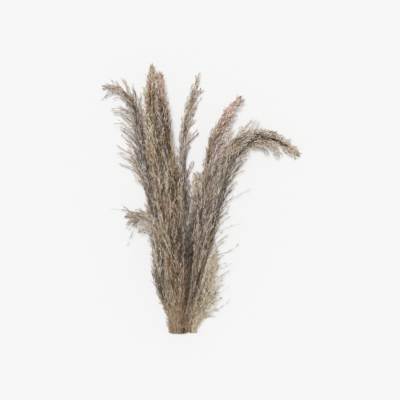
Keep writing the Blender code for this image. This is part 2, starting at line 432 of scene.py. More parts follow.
@dataclass
class Course:
    """The line of a stalk from its cut end to the tip of its plume.

    Places round it are given by three numbers: the distance along it from the cut end, the
    distance out from it, and the angle round it as in Side. Lengths are in metres.

    Attributes:
        spacing: how far apart the points of the line are.
        ring_sides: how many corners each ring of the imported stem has.
        tip_sides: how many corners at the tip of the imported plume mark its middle.
        angles: how many angles the reach is measured at.
        least_reach: the reach where the plume has no skin.
        wall_at_most: how far out a skin can be and still be that of the stem's own hole.
        evened: how far the reach may be from what is usual there, as two factors.
        tie_near: how far outside the plume the tie can be and still be covered.
        tie_room: how far past the tie's inside the fluff then reaches.
        tie_points: how many points of the line past the tie have all of that.
        tie_search: how many points from the cut end on may be the one at the tie.
        tie_eases: how much of it is left at each of the next points.
    """

    stem: Object
    plume: Object
    tie: Object
    spacing: float = 4 * MM
    ring_sides: int = 6
    tip_sides: int = 10
    angles: int = 24
    least_reach: float = 2.0 * MM
    wall_at_most: float = 5.4 * MM
    evened: tuple[float, float] = (0.72, 1.4)
    smoothings: int = 4
    tie_near: float = 7 * MM
    tie_room: float = 2.4 * MM
    tie_points: int = 3
    tie_search: int = 12
    tie_eases: tuple[float, ...] = (0.8, 0.5, 0.2)
    places: Array = field(init=False)
    along: Array = field(init=False)
    right: Array = field(init=False)
    above: Array = field(init=False)
    reach: Array = field(init=False)

    def __post_init__(self) -> None:
        """Reads the line from the stem, and the plume's reach round it."""
        knots = self.ring_centres()
        onward = knots[-1] + (knots[-1] - knots[-2]) * 1.1
        hull = corners_of(self.plume)
        nearest = np.argsort(np.linalg.norm(hull - onward, axis=1))[: self.tip_sides]
        self.places = through(np.vstack([knots, hull[nearest].mean(axis=0)]), self.spacing)
        step = np.gradient(self.places, axis=0)
        self.along = step / np.linalg.norm(step, axis=1, keepdims=True)
        level = np.cross(self.along, (0.0, 0.0, 1.0))
        self.right = level / np.linalg.norm(level, axis=1, keepdims=True)
        self.above = np.cross(self.right, self.along)
        self.reach = self.over_the_tie(self.measure_reach())

    @property
    def length(self) -> float:
        """The line's whole length, in metres."""
        return float(np.linalg.norm(np.diff(self.places, axis=0), axis=1).sum())

    def ring_centres(self) -> Array:
        """Finds the middles of the stem's rings of corners.

        Returns:
            The middles from the cut end on, one row each.
        """
        left = corners_of(self.stem)
        order = np.argsort(left[:, 1])
        centres = []
        while len(order) >= self.ring_sides:
            centres.append(left[order[: self.ring_sides]].mean(axis=0))
            left = left[order[self.ring_sides:]]
            order = np.argsort(np.linalg.norm(left - centres[-1], axis=1))
        return np.array(centres)

    def measure_reach(self) -> Array:
        """Measures how far out the plume's soft body reaches.

        Returns:
            The reach, a row for each point of the line and a column for each angle.
        """
        skin = skin_of(self.plume)
        found = np.full((len(self.places), self.angles), self.least_reach)
        for column, turn in enumerate(angles_round(self.angles)):
            outward = self.right * math.cos(turn) + self.above * math.sin(turn)
            for row, (place, way) in enumerate(zip(self.places, outward)):
                start, way = Vector(place), Vector(way)
                hit = skin.ray_cast(start, way)
                if hit[0] is None:
                    continue
                if hit[3] < self.wall_at_most:
                    beyond = skin.ray_cast(hit[0] + way * 0.05 * MM, way)
                    hit = beyond if beyond[0] is not None else hit
                found[row, column] = (hit[0] - start).length
        usual = np.median(found, axis=1, keepdims=True)
        found = np.clip(found, usual * self.evened[0], usual * self.evened[1])
        for _ in range(self.smoothings):
            found[1:-1] = (found[:-2] + found[1:-1] * 2 + found[2:]) / 4
        return found

    def over_the_tie(self, found: Array) -> Array:
        """Lets the outermost fluff near the cut lie over the tie.

        Args:
            found: the reach so far.

        Returns:
            The reach, past the tie wherever the tie is just outside it.
        """
        band = skin_of(self.tie)
        level = corners_of(self.tie)[:, 1].mean()
        row = int(np.argmin(np.abs(self.places[: self.tie_search, 1] - level)))
        start = Vector((self.places[row][0], level, self.places[row][2]))
        covered = row + self.tie_points
        for column, turn in enumerate(angles_round(self.angles)):
            way = Vector(self.right[row] * math.cos(turn) + self.above[row] * math.sin(turn))
            hit = band.ray_cast(start, way)
            if hit[0] is None or hit[3] > found[row, column] + self.tie_near:
                continue
            raised = hit[3] + self.tie_room
            found[:covered, column] = np.maximum(found[:covered, column], raised)
            for further, ease in enumerate(self.tie_eases, covered):
                found[further, column] += max(0.0, (raised - found[further, column]) * ease)
        return found

    def locate(self, s: Array) -> tuple[Array, Array]:
        """Finds the point of the line before each distance, and the share of a step past it."""
        row = np.clip(s / self.spacing, 0, len(self.places) - 1.001)
        return row.astype(int), row - row.astype(int)

    def reach_at(self, s: Array, turn: Array) -> Array:
        """Gives the plume's reach at places round the line.

        Args:
            s: distances along the line.
            turn: angles round it, in radians.

        Returns:
            The reach at each.
        """
        low, up = self.locate(s)
        column = (turn / math.tau % 1.0) * self.angles
        left = column.astype(int) % self.angles
        right = (left + 1) % self.angles
        over = column - column.astype(int)
        near = self.reach[low, left] * (1 - over) + self.reach[low, right] * over
        far = self.reach[low + 1, left] * (1 - over) + self.reach[low + 1, right] * over
        return near * (1 - up) + far * up

    def at(self, s: Array, out: Array, turn: Array) -> Array:
        """Turns places round the line into points.

        Args:
            s: distances along the line.
            out: distances out from it.
            turn: angles round it, in radians.

        Returns:
            The points, one row each.
        """
        low, part = self.locate(s)
        part = part[:, None]
        middle, right, above = (line[low] * (1 - part) + line[low + 1] * part
                                for line in (self.places, self.right, self.above))
        past = (s - np.clip(s, 0.0, self.spacing * (len(self.places) - 1)))[:, None]
        outward = right * np.cos(turn)[:, None] + above * np.sin(turn)[:, None]
        return middle + self.along[low] * past + outward * out[:, None]


# Spikelets and threads


@dataclass
class Needles:
    """Slender pointed pieces, each a closed three-sided cone between two points.

    Spikelets, and the threads that carry them, are all such cones. None goes past the y of the
    straight cut, below the floor or above the roof. One that starts before the cut is cut off
    there, and one that starts too far before it or doesn't end past it is left out.
    """

    cut: float
    before_cut: float = 8 * MM
    past_cut: float = 1 * MM
    floor: float = 0.2 * MM
    roof: float = 119 * MM
    patch: tuple[float, float] = (0.008, 0.05)
    batches: list[tuple[Array, ...]] = field(default_factory=list)

    def add(self, start: Array, end: Array, width: Array, tone: Array, height: Array) -> None:
        """Adds needles, width being half their thickness, tone and height their palette place."""
        self.batches.append((start, end, width, tone, height))

    @staticmethod
    def needle() -> tuple[Array, Array]:
        """Shapes one needle, a closed cone of length 1 that starts at height 0.

        Returns:
            Its corners, and the corners of its faces.
        """
        shape = bmesh.new()
        bmesh.ops.create_cone(shape, cap_ends=True, cap_tris=False, segments=3, radius1=1.0,
                              radius2=0.0, depth=1.0)
        bmesh.ops.remove_doubles(shape, verts=shape.verts, dist=1e-4)
        bmesh.ops.recalc_face_normals(shape, faces=shape.faces)
        shape.verts.index_update()
        corners = np.array([v.co for v in shape.verts])
        faces = np.array([[v.index for v in face.verts] for face in shape.faces])
        shape.free()
        corners[:, 2] += 0.5
        return corners, faces

    def mesh(self, name: str, chance: np.random.Generator) -> Mesh:
        """Places a copy of the needle at each pair of points.

        Args:
            name: the mesh's name.
            chance: says how far each is rolled about its own length.

        Returns:
            The mesh, with its palette map.
        """
        parts = [np.concatenate(part) for part in zip(*self.batches)]
        kept = ((parts[1][:, 1] > self.cut + self.past_cut)
                & (parts[0][:, 1] > self.cut - self.before_cut))
        start, end, width, tone, height = (part[kept] for part in parts)
        for points in (start, end):
            points[:, 2] = np.clip(points[:, 2], self.floor + width, self.roof - width)
            points[:, 1] = np.maximum(points[:, 1], self.cut)
        line = end - start
        long = np.maximum(np.linalg.norm(line, axis=1, keepdims=True), 1e-6)
        along = line / long
        hand = np.where(np.abs(along[:, 2:]) < 0.9, (0.0, 0.0, 1.0), (1.0, 0.0, 0.0))
        one = np.cross(along, hand)
        one /= np.linalg.norm(one, axis=1, keepdims=True)
        roll = chance.uniform(0, math.tau, len(start))[:, None]
        across = one * np.cos(roll) + np.cross(along, one) * np.sin(roll)
        upward = np.cross(along, across)
        corners, faces = self.needle()
        points = (
            start[:, None, :]
            + across[:, None, :] * (corners[None, :, 0:1] * width[:, None, None])
            + upward[:, None, :] * (corners[None, :, 1:2] * width[:, None, None])
            + along[:, None, :] * (corners[None, :, 2:3] * long[:, :, None])
        )
        turn = np.arctan2(corners[:, 1], corners[:, 0]) / math.tau
        patch_u = np.where(corners[:, 2] < 0.5, turn, 0.0) * self.patch[0]
        patch_v = (corners[:, 2] + 0.3 * corners[:, 0]) / 2 * self.patch[1]
        u = np.clip(tone, 0.01, 0.99)[:, None] + patch_u[None]
        v = (0.05 + 0.9 * np.clip(height, 0, 1))[:, None] + patch_v[None]
        return self.joined(name, points, faces, np.stack([u, v], axis=2))

    @staticmethod
    def joined(name: str, points: Array, faces: Array, palette: Array) -> Mesh:
        """Joins the copies in one mesh.

        Args:
            name: the mesh's name.
            points: each copy's corners.
            faces: the needle's faces.
            palette: where each copy's corners are on the palette.

        Returns:
            The mesh.
        """
        count, size = points.shape[:2]
        made = bpy.data.meshes.new(name)
        made.vertices.add(count * size)
        made.vertices.foreach_set("co", points.astype(np.float32).ravel())
        index = (faces[None] + (np.arange(count) * size)[:, None, None]).astype(np.int32)
        made.loops.add(index.size)
        made.loops.foreach_set("vertex_index", index.ravel())
        made.polygons.add(count * len(faces))
        made.polygons.foreach_set("loop_start", np.arange(0, index.size, 3, dtype=np.int32))
        made.update(calc_edges=True)
        layer = made.uv_layers.new(name=PALETTE_MAP)
        pairs = palette.reshape(-1, 2)[index.ravel()]
        layer.data.foreach_set("uv", pairs.astype(np.float32).ravel())
        made.validate()
        return made


# Plumes

# How every plume grows. Distances out are shares of the plume's reach, other lengths are in
# metres, SPIKE_SCATTER is in degrees, and other angles are in radians. SPIKE_ROOTS and TIPS_OUT
# give a start and a span, THREAD_SHADES gives how much darker the threads of branches and of
# branchlets are, and every other pair gives a lowest and a highest value.
SPIKE_ROOTS = (0.12, 0.86)
SPIKE_SIDES = (0.4, 0.2, 0.4)
SPIKE_SCATTER = 22.0
SPIKE_FLUFF = 0.15
SKIRT_BEFORE_CUT = (0.004, 0.03)
LAST_ROOT = 0.975
SHEAF_SPREAD = 0.15
CUT_SHORT = (0.72, 1.0)
ROOTS_OUT = (0.03, 0.16)
STRAY_ROOTS_OUT = 0.7
TIPS_OUT = (0.45, 0.65)
STRAY_TIPS_OUT = (0.8, 1.05)
SKIRT_TIPS_OUT = (0.95, 1.05)
RISE = (0.6, 0.95)
TWIST = 0.30
CURL = 0.35
WAVES = (1.5, 6.0)
LOOSE_WAVE = 1.25
FRINGE_FROM_TIP = 0.07
FRINGE_FROM_CUT = 0.05
SPIKELET_FLARE = 0.13
# Painted shade on spikelets deep inside a plume, and painted light on those near its surface, by how far
# out they are.
PAINTED_DEPTH_SHADING = 1.4
DEPTH_UNSHADED = 0.87
THREAD_SHADES = (0.12, 0.08)


@dataclass(frozen=True)
class Stray:
    """A loose branch that leaves its plume.

    Attributes:
        share: where along the stalk it leaves, as a share of the stalk's length.
        side: the side that it leaves on, in degrees as in Side.
        length: its own length, in millimetres.
        out: how far outside the plume it ends, in millimetres.
        fluff: the share of its branchlets that it still has.
    """

    share: float
    side: float
    length: float
    out: float
    fluff: float


@dataclass(frozen=True)
class Fringe:
    """A row of loose branches down one side of a plume.

    Attributes:
        side: the side that they are on, in degrees as in Side.
        first: where the row starts, as a share of the stalk's length.
        last: where it ends.
        count: how many branches there are.
        length: the shortest and the longest of them, in millimetres.
        out: how far outside the plume the nearest and furthest end, in millimetres.
        fluff: the share of their branchlets that they still have.
        scatter: how far they spread round the plume to each side, in degrees.
    """

    side: float
    first: float
    last: float
    count: int
    length: tuple[float, float]
    out: tuple[float, float]
    fluff: float
    scatter: float = 16.0

    def strays(self, chance: np.random.Generator) -> list[Stray]:
        """Makes up the branches.

        Args:
            chance: where the chances come from.

        Returns:
            The branches, from the cut end on.
        """
        shares = self.first + (self.last - self.first) * spaced(chance, self.count)
        sides = self.side + chance.normal(0, self.scatter, self.count)
        lengths = chance.uniform(*self.length, self.count)
        outs = chance.uniform(*self.out, self.count)
        return [Stray(*values, self.fluff) for values in zip(shares, sides, lengths, outs)]


@dataclass(frozen=True)
class Cleft:
    """A groove down a plume where it meets its neighbour, with painted shade for the shadow that falls
    between them.

    Attributes:
        side: the side that it is on, in degrees as in Side.
        first: where it starts, as a share of the stalk's length.
        last: where it ends.
        half_angle: how far it reaches round the plume to each side, in degrees.
        depth: the share of the plume's reach that it takes away.
        shade: how much painted shade darkens the fluff's tone in it.
        ends: how far along it gets to its full depth, as a share of the stalk's length.
    """

    side: float
    first: float
    last: float
    half_angle: float
    depth: float
    shade: float = 0.0
    ends: float = 0.04

    def at(self, share: Array, turn: Array) -> Array:
        """Says how deep in the groove places are.

        Args:
            share: shares of the stalk's length.
            turn: angles round it, in radians.

        Returns:
            A number from 0 outside the groove to 1 in its middle.
        """
        apart = np.abs((np.degrees(turn) - self.side + 180) % 360 - 180)
        ends = np.minimum(share - self.first, self.last - share) / self.ends
        return np.clip(1.4 * (1 - apart / self.half_angle), 0, 1) * np.clip(ends, 0, 1)


@dataclass
class Plume:
    """One plume and the way it is grown. Lengths are in metres where nothing else is said.

    Attributes:
        name: the stalk's name, as in its nodes.
        finish: its fluff's finish.
        hue_shares: how much of the fluff takes each of the finish's hues.
        branches: how many branches leave the stalk.
        seed: what its random growth starts from.
        brightness: the usual tone of its fluff, from 0, dark, to 1, pale.
        fringes: its rows of loose branches.
        strays: its other loose branches.
        clefts: its dark grooves.
        stray_shade: how much darker its loose branches are.
        fullness: how much of its soft body it fills.
        lean: how much further it reaches on its right than on its left.
        tip_fullness: how much of its fullness is left at its tip.
        taper_from: the share of its length past which it thins out.
        past_tip: how far it goes on past the end of the stalk's line.
        nose: how long its rounded end is.
        fringe: how far loose ends stand out of it.
        spikes: how many short loose branches stick out at random.
        spike_length: the shortest and longest of these, in millimetres.
        spike_out: how far outside the plume they end, in millimetres.
        skirt: how many of its branches start at the cut and lie over the tie.
        sheaf: how many branches in a row share a side, a hue and a tone.
        below_cut: how far before the cut the first branches would leave.
        branch_length: the shortest and longest branch.
        branchlets: how many branchlets leave each branch.
        branchlet_length: the shortest and longest branchlet.
        spikelets: how many spikelets a branchlet carries.
        spikelet_length: the shortest and longest spikelet.
        spikelet_width: half the thickness of the slightest and the stoutest.
        threads: half the thickness of a branch, a loose one, a branchlet and a loose one's.
        tones: how far sheaves, branches, branchlets and spikelets differ in tone.
        flare: how far branchlets turn away from their branch, in degrees.
        wave: how far branches wander to each side.
        least_out: the least distance out at which a step aside turns into an angle.
        stem_radii: the room that is left for the stem at its cut end and at its tip.
    """

    name: str
    finish: FluffFinish
    hue_shares: tuple[float, float, float]
    branches: int
    seed: int
    brightness: float
    fringes: tuple[Fringe, ...] = ()
    strays: tuple[Stray, ...] = ()
    clefts: tuple[Cleft, ...] = ()
    stray_shade: float = 0.20
    fullness: float = 0.90
    lean: float = 0.0
    tip_fullness: float = 0.4
    taper_from: float = 0.65
    past_tip: float = 0.006
    nose: float = 0.05
    fringe: float = 0.011
    spikes: int = 70
    spike_length: tuple[float, float] = (14, 40)
    spike_out: tuple[float, float] = (3, 10)
    skirt: int = 20
    sheaf: int = 4
    below_cut: float = 0.07
    branch_length: tuple[float, float] = (0.05, 0.15)
    branchlets: int = 20
    branchlet_length: tuple[float, float] = (0.008, 0.022)
    spikelets: int = 6
    spikelet_length: tuple[float, float] = (0.0048, 0.0090)
    spikelet_width: tuple[float, float] = (0.00036, 0.00070)
    threads: tuple[float, ...] = (0.00075, 0.00062, 0.00040, 0.00045)
    tones: tuple[float, ...] = (0.16, 0.11, 0.16, 0.36)
    flare: float = 15.0
    wave: float = 0.0012
    least_out: float = 0.004
    stem_radii: tuple[float, float] = (0.0046, 0.0010)

    def build(self, course: Course, cut: float) -> None:
        """Grows the plume round its stalk.

        Args:
            course: the line of the stalk.
            cut: the y of the straight cut.
        """
        self.course = course
        self.whole = course.length
        self.chance = np.random.default_rng(self.seed)
        self.needles = Needles(cut)
        self.grow_branches()
        self.draw_branches()
        self.grow_branchlets()
        self.grow_spikelets()
        mesh = self.needles.mesh(self.name + "_fluff", self.chance)
        placed(mesh, self.name + "_plume", self.name + "_fluff", self.finish.material())

    def reach_at(self, s: Array, turn: Array) -> Array:
        """Says how far out the plume's fluff reaches at places round its stalk.

        Args:
            s: distances along the stalk.
            turn: angles round it, in radians.

        Returns:
            The reach at each.
        """
        late = np.clip((s / self.whole - self.taper_from) / (1 - self.taper_from), 0, 1)
        thin = 1 - (1 - self.tip_fullness) * late**1.3
        nose = np.clip((self.whole + self.past_tip - s) / self.nose, 0.1, 1) ** 0.7
        full = 1 - (1 - self.fullness) * np.clip((s - 0.02) / 0.05, 0, 1)
        reach = self.course.reach_at(s, turn) * full * thin * nose
        reach = reach * (1 + self.lean * np.cos(turn))
        for cleft in self.clefts:
            reach = reach * (1 - cleft.depth * cleft.at(s / self.whole, turn))
        return reach

    def fringe_at(self, s: Array, turn: Array) -> Array:
        """Says how much further than its fluff its loose ends may reach, as for reach_at."""
        left = np.clip((self.whole + self.past_tip - s) / FRINGE_FROM_TIP, 0.02, 1)
        low = np.clip(s / FRINGE_FROM_CUT + 1, 0.3, 1)
        fringe = self.fringe * left * low * (1 + 2 * self.lean * np.cos(turn))
        for cleft in self.clefts:
            fringe = fringe * (1 - 0.8 * cleft.at(s / self.whole, turn))
        return fringe

    def stem_at(self, s: Array) -> Array:
        """Says how far out the stalk itself reaches, with a little room."""
        base, tip = self.stem_radii
        return base + (tip - base) * np.clip(s / self.whole, 0, 1)

    def palette_at(self, branch: Array, tone: Array) -> Array:
        """Says where tones of the branches' hues are across the palette."""
        return (self.hue[branch] + np.clip(tone, 0.04, 0.96)) / len(self.hue_shares)

    def grow_spikes(self) -> list[Stray]:
        """Makes up the plume's short loose branches."""
        chance, spikes = self.chance, self.spikes
        shares = SPIKE_ROOTS[0] + SPIKE_ROOTS[1] * chance.uniform(0, 1, spikes) ** 0.8
        sides = chance.choice([side.value for side in Side], spikes, p=SPIKE_SIDES)
        sides = sides + chance.normal(0, SPIKE_SCATTER, spikes)
        lengths = chance.uniform(*self.spike_length, spikes)
        outs = chance.uniform(*self.spike_out, spikes)
        return [Stray(*values, SPIKE_FLUFF) for values in zip(shares, sides, lengths, outs)]

    def grow_branches(self) -> None:
        """Settles each branch's root, length, side, reach, hue and tone."""
        chance, strays = self.chance, [*self.strays, *self.grow_spikes()]
        for fringe in self.fringes:
            strays += fringe.strays(chance)
        share, side, length, out, fluff = np.array([astuple(stray) for stray in strays]).T
        grown, skirt = self.branches, self.skirt
        plain = grown + skirt
        count = plain + len(strays)
        first = -self.below_cut
        root = first + (self.whole * LAST_ROOT - first) * spaced(chance, grown)
        root = np.concatenate([root, -chance.uniform(*SKIRT_BEFORE_CUT, skirt)])
        longest = np.minimum(self.branch_length[1], (self.whole - root) * 0.92 + self.past_tip)
        shortest = np.minimum(self.branch_length[0], longest * 0.7)
        long = shortest + (longest - shortest) * chance.uniform(0, 1, plain) ** 0.8
        sheaf = np.arange(plain) // self.sheaf
        turn = sheaf * GOLDEN_ANGLE + chance.normal(0, SHEAF_SPREAD, plain)
        turn[grown:] = (np.arange(skirt) + chance.uniform(-0.3, 0.3, skirt)) * math.tau / skirt
        self.root = np.concatenate([root, self.whole * share])
        most = (self.whole + self.past_tip - self.root) * chance.uniform(*CUT_SHORT, count)
        most[plain : plain + len(self.strays)] = self.whole
        self.long = np.minimum(np.concatenate([long, length * MM]), most)
        self.turn = np.concatenate([turn, np.radians(side)])
        loose = chance.exponential(0.4, plain) * self.fringe_at(root + long, turn)
        self.loose = np.concatenate([loose, out * MM])
        self.density = np.concatenate([np.ones(plain), fluff])
        self.is_stray = np.arange(count) >= plain
        root_out = chance.uniform(*ROOTS_OUT, count)
        self.out_from = np.where(self.is_stray, STRAY_ROOTS_OUT, root_out)
        self.out_to = TIPS_OUT[0] + TIPS_OUT[1] * chance.uniform(0, 1, count) ** 0.6
        self.out_to[plain:] = chance.uniform(*STRAY_TIPS_OUT, len(strays))
        self.out_from[grown:plain] = 1.0
        self.out_to[grown:plain] = chance.uniform(*SKIRT_TIPS_OUT, skirt)
        self.rise = chance.uniform(*RISE, count)
        self.twist = chance.normal(0, TWIST, count) * ~self.is_stray
        self.curl = chance.normal(0, CURL, count) * self.is_stray
        self.waves = chance.uniform(*WAVES, count), chance.uniform(0, math.tau, count)
        sheaf = np.concatenate([sheaf, plain + np.arange(len(strays))])
        self.hue = chance.choice(3, count, p=self.hue_shares)[sheaf]
        self.tone = self.brightness + chance.normal(0, self.tones[0], count)[sheaf]
        self.tone += chance.normal(0, self.tones[1], count) - self.stray_shade * self.is_stray

    def branch_at(self, index: Array, t: Array) -> Places:
        """Finds places along branches.

        Args:
            index: the branch's number at each place.
            t: how far along its branch each place is, from 0 to 1.

        Returns:
            The distance along the stalk, the distance out, and the angle round it.
        """
        loose = self.is_stray[index]
        s = self.root[index] + self.long[index] * (t + self.curl[index] * (t - t**2))
        turn = self.turn[index] + self.twist[index] * t
        share = self.out_from[index]
        t = np.maximum(t, 0.0)
        share = share + (self.out_to[index] - share) * t ** self.rise[index]
        out = share * self.reach_at(s, turn) + self.loose[index] * t ** np.where(loose, 1.25, 2.2)
        out = np.maximum(out, self.stem_at(s))
        swing = self.waves[0][index] * t * math.tau + self.waves[1][index]
        wave = self.wave * np.where(loose, LOOSE_WAVE, 1.0)
        turn = turn + wave * np.sin(swing) / np.maximum(out, self.least_out)
        return s, out + wave * np.cos(swing) * t, turn

    def heading(self, index: Array, t: Array) -> Array:
        """Finds which way branches head, as steps along the stalk, out from it and round it.

        Args:
            index: the branch's number at each place.
            t: how far along its branch each place is, from 0 to 1.

        Returns:
            The headings, one row each, of length 1.
        """
        s, out, turn = self.branch_at(index, t - 0.12)
        further = self.branch_at(index, t + 0.12)
        across = (further[2] - turn) * np.maximum(out, self.least_out)
        ahead = np.stack([further[0] - s, further[1] - out, across], axis=1)
        return ahead / np.linalg.norm(ahead, axis=1, keepdims=True)

    def draw_branches(self, steps: int = 9) -> None:
        """Adds each branch as a chain of thin threads.

        Args:
            steps: how many threads make one branch.
        """
        count = len(self.root)
        index = np.repeat(np.arange(count), steps)
        t = np.tile(np.arange(steps) / steps, count)
        start = self.course.at(*self.branch_at(index, t))
        end = self.course.at(*self.branch_at(index, t + 1.2 / steps))
        width = np.where(self.is_stray[index], self.threads[1], self.threads[0]) * (1 - 0.6 * t)
        tone = self.palette_at(index, self.tone[index] - THREAD_SHADES[0])
        self.needles.add(start, end, width, tone, self.root[index] / self.whole)

    def grow_branchlets(self) -> None:
        """Settles each branchlet's root, length and direction, and adds its thread."""
        chance = self.chance
        parent = np.repeat(np.arange(len(self.root)), self.branchlets)
        t = 0.05 + 0.93 * spaced(chance, self.branchlets, len(self.root))
        kept = chance.uniform(0, 1, len(t)) < self.density[parent] ** 0.5
        self.parent, t = parent[kept], t[kept]
        count = len(t)
        self.let_s, self.let_out, self.let_turn = self.branch_at(self.parent, t)
        loose = self.is_stray[self.parent]
        long = chance.uniform(*self.branchlet_length, count) * (1.1 - 0.55 * t)
        slight = chance.uniform(0.10, 0.28, count) * self.long[self.parent] * (1.1 - 0.8 * t)
        long = np.where(loose, np.minimum(slight, long), long)
        self.let_long = np.clip(self.whole + self.past_tip - self.let_s, 0.004, long)
        away = np.radians(self.flare) * chance.gamma(3.0, 1 / 3.0, count)
        away = (away * np.where(loose, 0.6, 1))[:, None]
        ahead = self.heading(self.parent, t)
        aside = chance.normal(0, 1, (count, 3))
        aside -= ahead * (aside * ahead).sum(axis=1, keepdims=True)
        aside /= np.linalg.norm(aside, axis=1, keepdims=True)
        self.let_way = ahead * np.cos(away) + aside * np.sin(away)
        self.let_tone = self.tone[self.parent] + chance.normal(0, self.tones[2], count)
        start, end = (self.let_at(np.arange(count), np.full(count, t)) for t in (0.0, 1.0))
        tone = self.palette_at(self.parent, self.let_tone - THREAD_SHADES[1])
        width = np.where(loose, self.threads[3], self.threads[2])
        self.needles.add(self.course.at(*start), self.course.at(*end), width, tone,
                         self.let_s / self.whole)

    def let_at(self, index: Array, t: Array) -> Places:
        """Finds places along branchlets, as for branch_at."""
        way = self.let_way[index] * (self.let_long[index] * t)[:, None]
        s = self.let_s[index] + way[:, 0]
        out = self.let_out[index] + way[:, 1]
        turn = self.let_turn[index] + way[:, 2] / np.maximum(out, self.least_out)
        loose = self.fringe_at(s, turn) * 0.8 + self.loose[self.parent[index]]
        return s, np.clip(out, self.stem_at(s), self.reach_at(s, turn) + loose), turn

    def grow_spikelets(self) -> None:
        """Adds the spikelets along every branchlet, with painted shade deep inside the plume and in its
        grooves, and painted light near its surface.
        """
        chance = self.chance
        let = np.repeat(np.arange(len(self.parent)), self.spikelets)
        branch = self.parent[let]
        count = len(let)
        t = 0.04 + 0.9 * spaced(chance, self.spikelets, len(self.parent))
        s, out, turn = self.let_at(let, t)
        long = chance.uniform(*self.spikelet_length, count)
        long *= np.where(self.is_stray[branch], 0.8, 1.0)
        way = self.let_way[let] + chance.normal(0, SPIKELET_FLARE, (count, 3))
        way[:, 0] = np.abs(way[:, 0])
        way *= (long / np.linalg.norm(way, axis=1))[:, None]
        end_s = s + way[:, 0]
        end_out = np.maximum(out + way[:, 1], self.stem_at(end_s))
        end_turn = turn + way[:, 2] / np.maximum(out, self.least_out)
        width = chance.uniform(*self.spikelet_width, count)
        reach = self.reach_at(s, turn)
        # Painted shade deep inside the plume, painted light near its surface.
        depth = np.maximum(np.clip(out / np.maximum(reach, 0.003), 0, 1.2), 1 - reach / 0.016)
        tone = self.let_tone[let] + chance.normal(0, self.tones[3], count)
        tone += PAINTED_DEPTH_SHADING * (depth - DEPTH_UNSHADED)
        # Painted shade in each groove where the plume meets a neighbour.
        for cleft in self.clefts:
            tone = tone - cleft.shade * cleft.at(s / self.whole, turn)
        self.needles.add(self.course.at(s, out, turn), self.course.at(end_s, end_out, end_turn),
                         width, self.palette_at(branch, tone), s / self.whole)


# Stems, tie and studio


def rolled(rings: Array, joined: bool) -> BMesh:
    """Rolls a grid up into a tube through rings of places.

    Args:
        rings: the places, by ring and by place round the ring.
        joined: whether the last ring meets the first; if not, both ends are filled.

    Returns:
        The closed tube.
    """
    rows, columns = len(rings) + joined, rings.shape[1] + 1
    shape = bmesh.new()
    bmesh.ops.create_grid(shape, x_segments=rows - 1, y_segments=columns - 1, size=0.5)
    for corner in shape.verts:
        row = round((corner.co.x + 0.5) * (rows - 1)) % len(rings)
        column = round((corner.co.y + 0.5) * (columns - 1)) % rings.shape[1]
        corner.co = rings[row, column]
    bmesh.ops.remove_doubles(shape, verts=shape.verts, dist=0.001 * MM)
    if not joined:
        bmesh.ops.holes_fill(shape, edges=[edge for edge in shape.edges if edge.is_boundary])
    bmesh.ops.recalc_face_normals(shape, faces=shape.faces)
    for face in shape.faces:
        face.smooth = len(face.verts) == 4
    return shape


@dataclass
class Stem:
    """A stalk's straw stem, with its joints and its cut end."""

    name: str
    sides: int = 14
    base_radius: float = 4.0 * MM
    tip_radius: float = 0.9 * MM
    ends_at: float = 0.955
    step: float = 12 * MM
    first_joint: float = 50 * MM
    joints_apart: float = 135 * MM
    joint_swell: float = 0.45 * MM
    joint_half_length: float = 2.5 * MM
    rim: float = 0.55 * MM
    pith_depth: float = 0.35 * MM

    def build(self, course: Course, skin: Material, pith: Material) -> None:
        """Draws the stem along its stalk's line.

        Args:
            course: the line of the stalk.
            skin: the straw finish.
            pith: the finish of the cut end.
        """
        last = course.length * self.ends_at
        joints = np.arange(self.first_joint, last, self.joints_apart)
        near = joints[:, None] + np.array((-1, -0.4, 0, 0.4, 1)) * self.joint_half_length
        stops = np.unique(np.concatenate([np.arange(0, last, self.step), near.ravel(), [last]]))
        closest = np.abs(stops[:, None] - joints[None, :]).min(axis=1)
        swell = self.joint_swell * np.clip(1 - closest / self.joint_half_length, 0, 1)
        radius = self.base_radius + (self.tip_radius - self.base_radius) * stops / last + swell
        rings = course.at(np.repeat(stops, self.sides), np.repeat(radius, self.sides),
                          np.tile(angles_round(self.sides), len(stops)))
        shape = rolled(rings.reshape(len(stops), self.sides, 3), False)
        cut_end = min((face for face in shape.faces if len(face.verts) == self.sides),
                      key=lambda face: face.calc_center_median().y)
        bmesh.ops.inset_region(shape, faces=[cut_end], thickness=self.rim, depth=-self.pith_depth)
        cut_end.material_index = 1
        placed(drawn(shape, self.name + "_stem_piece"), self.name + "_stem", "straw_stem", skin, pith)


